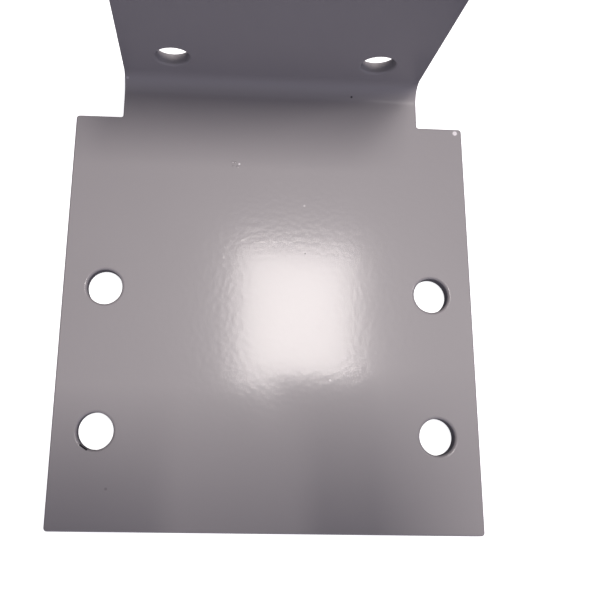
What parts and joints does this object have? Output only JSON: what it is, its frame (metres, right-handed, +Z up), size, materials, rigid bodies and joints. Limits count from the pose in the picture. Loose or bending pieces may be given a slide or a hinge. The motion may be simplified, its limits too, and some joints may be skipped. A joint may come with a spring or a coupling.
{
  "type": "stamped metal bracket",
  "caption": "Folded steel angle bracket: a square drilled base and a narrower upright drilled flange behind two shoulders, to bolt two surfaces at a right angle.",
  "frame": {"origin": "centre of the base's four-hole pattern, on the underside", "axes": "+X across the bracket, +Y from the front edge to the flange, +Z up through the base along the flange"},
  "size_m": [0.125, 0.1428, 0.125],
  "materials": {
    "powder_coat": "semi-gloss grey powder coat with fine orange peel"
  },
  "bodies": {
    "root": {"bracket": "powder_coat"}
  },
  "joints": []
}
